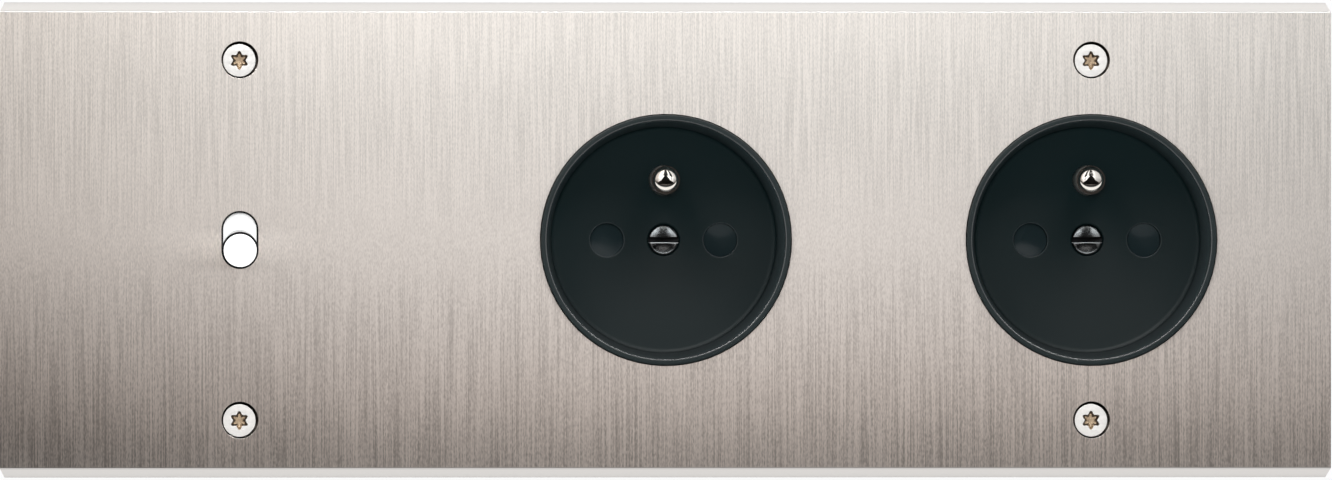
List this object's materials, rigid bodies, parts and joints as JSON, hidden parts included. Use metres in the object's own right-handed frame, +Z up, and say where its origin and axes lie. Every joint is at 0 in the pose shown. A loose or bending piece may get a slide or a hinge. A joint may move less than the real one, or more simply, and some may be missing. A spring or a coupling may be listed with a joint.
{
  "type": "switch and socket wall plate",
  "caption": "Horizontal brushed metal wall plate with bevelled long edges, a short toggle lever switch, and round recessed sockets with a standing earth pin and rotary shutters.",
  "frame": {"origin": "on the wall surface behind the centre of the plate, midway between the four box screws", "axes": "+X to the right seen from the room, +Z up, +Y into the wall"},
  "size_m": [0.222, 0.0481, 0.0792],
  "materials": {
    "brushed_plate": "satin, brushed from top to bottom",
    "screw_steel": "bright turned stainless",
    "zinc_steel": "zinc plated",
    "centre_zinc": "zinc plated, slightly dull",
    "tinned_brass": "tin plated",
    "nickel": "nickel plated",
    "brass": "rolled",
    "copper": "rolled copper alloy",
    "silver": "silver contact alloy",
    "spring_steel": "drawn wire and ground pins",
    "socket_black": "satin black moulding",
    "shutter_black": "polished black moulding",
    "base_moulding": "fine-textured dark grey moulding",
    "black_moulding": "matt black moulding",
    "grey_moulding": "fine-textured light grey moulding",
    "white_lacquer": "white lacquer",
    "plunger_nylon": "natural nylon"
  },
  "bodies": {
    "plate_assembly": {"centre_socket_base": "base_moulding", "centre_socket_centre_screw": "centre_zinc", "centre_socket_cover": "base_moulding", "centre_socket_cover_screws": "zinc_steel", "centre_socket_earth_pin": "nickel", "centre_socket_earth_strap": "brass", "centre_socket_left_contact": "brass", "centre_socket_right_contact": "brass", "centre_socket_shutter_spring": "spring_steel", "centre_socket_strap": "zinc_steel", "centre_socket_terminal_cages": "brass", "centre_socket_terminal_clamps": "zinc_steel", "centre_socket_terminal_screws": "zinc_steel", "centre_socket_well": "socket_black", "earth_tab": "tinned_brass", "earth_tab_rivet": "zinc_steel", "faceplate": "brushed_plate", "faceplate_screws": "screw_steel", "fixed_pads": "silver", "lever_guide": "black_moulding", "lever_pivot_pin": "spring_steel", "lower_fixed_contact": "brass", "module_screws": "zinc_steel", "right_socket_base": "base_moulding", "right_socket_centre_screw": "centre_zinc", "right_socket_cover": "base_moulding", "right_socket_cover_screws": "zinc_steel", "right_socket_earth_pin": "nickel", "right_socket_earth_strap": "brass", "right_socket_left_contact": "brass", "right_socket_right_contact": "brass", "right_socket_shutter_spring": "spring_steel", "right_socket_strap": "zinc_steel", "right_socket_terminal_cages": "brass", "right_socket_terminal_clamps": "zinc_steel", "right_socket_terminal_screws": "zinc_steel", "right_socket_well": "socket_black", "rocker_pin": "spring_steel", "rocker_support": "brass", "support_frame": "zinc_steel", "switch_cover": "grey_moulding", "switch_cover_screws": "zinc_steel", "switch_housing": "grey_moulding", "switch_strap": "zinc_steel", "switch_terminal_cages": "brass", "switch_terminal_clamps": "zinc_steel", "switch_terminal_screws": "zinc_steel", "upper_fixed_contact": "brass"},
    "lever": {"toggle_lever": "white_lacquer", "lever_tip_band": "black_moulding", "lever_shield": "white_lacquer", "plunger_spring": "spring_steel"},
    "plunger": {"detent_plunger": "plunger_nylon"},
    "rocker": {"contact_rocker": "copper", "rocker_pads": "silver"},
    "centre_shutter": {"centre_socket_shutter": "shutter_black"},
    "right_shutter": {"right_socket_shutter": "shutter_black"}
  },
  "joints": [
    {"name": "lever_tilt", "type": "hinge", "parent": "plate_assembly", "child": "lever", "pos_m": [-0.071, 0.0095, 0], "axis": [-1, 0, 0], "range_deg": [0, 8.9]},
    {"name": "plunger_press", "type": "slide", "parent": "lever", "child": "plunger", "axis": [0, -0.997, -0.0776], "range_m": [0, 0.0008], "stiffness_N_per_m": 300, "springref_m": -0.002, "deforming": ["plunger_spring"]},
    {"name": "rocker_tilt", "type": "hinge", "parent": "plate_assembly", "child": "rocker", "pos_m": [-0.071, 0.02185, 0], "axis": [-1, 0, 0], "range_deg": [-13, 0]},
    {"name": "centre_shutter_turn", "type": "hinge", "parent": "plate_assembly", "child": "centre_shutter", "pos_m": [0, 0.0157, 0], "axis": [0, -1, 0], "range_deg": [0, 38], "stiffness_Nm_per_rad": 0.002, "springref_deg": -28.65, "deforming": ["centre_socket_shutter_spring"]},
    {"name": "right_shutter_turn", "type": "hinge", "parent": "plate_assembly", "child": "right_shutter", "pos_m": [0.071, 0.0157, 0], "axis": [0, -1, 0], "range_deg": [0, 38], "stiffness_Nm_per_rad": 0.002, "springref_deg": -28.65, "deforming": ["right_socket_shutter_spring"]}
  ],
  "couplings": [
    {"joint": "rocker_tilt", "follows": "lever_tilt", "ratio": -1.46}
  ]
}
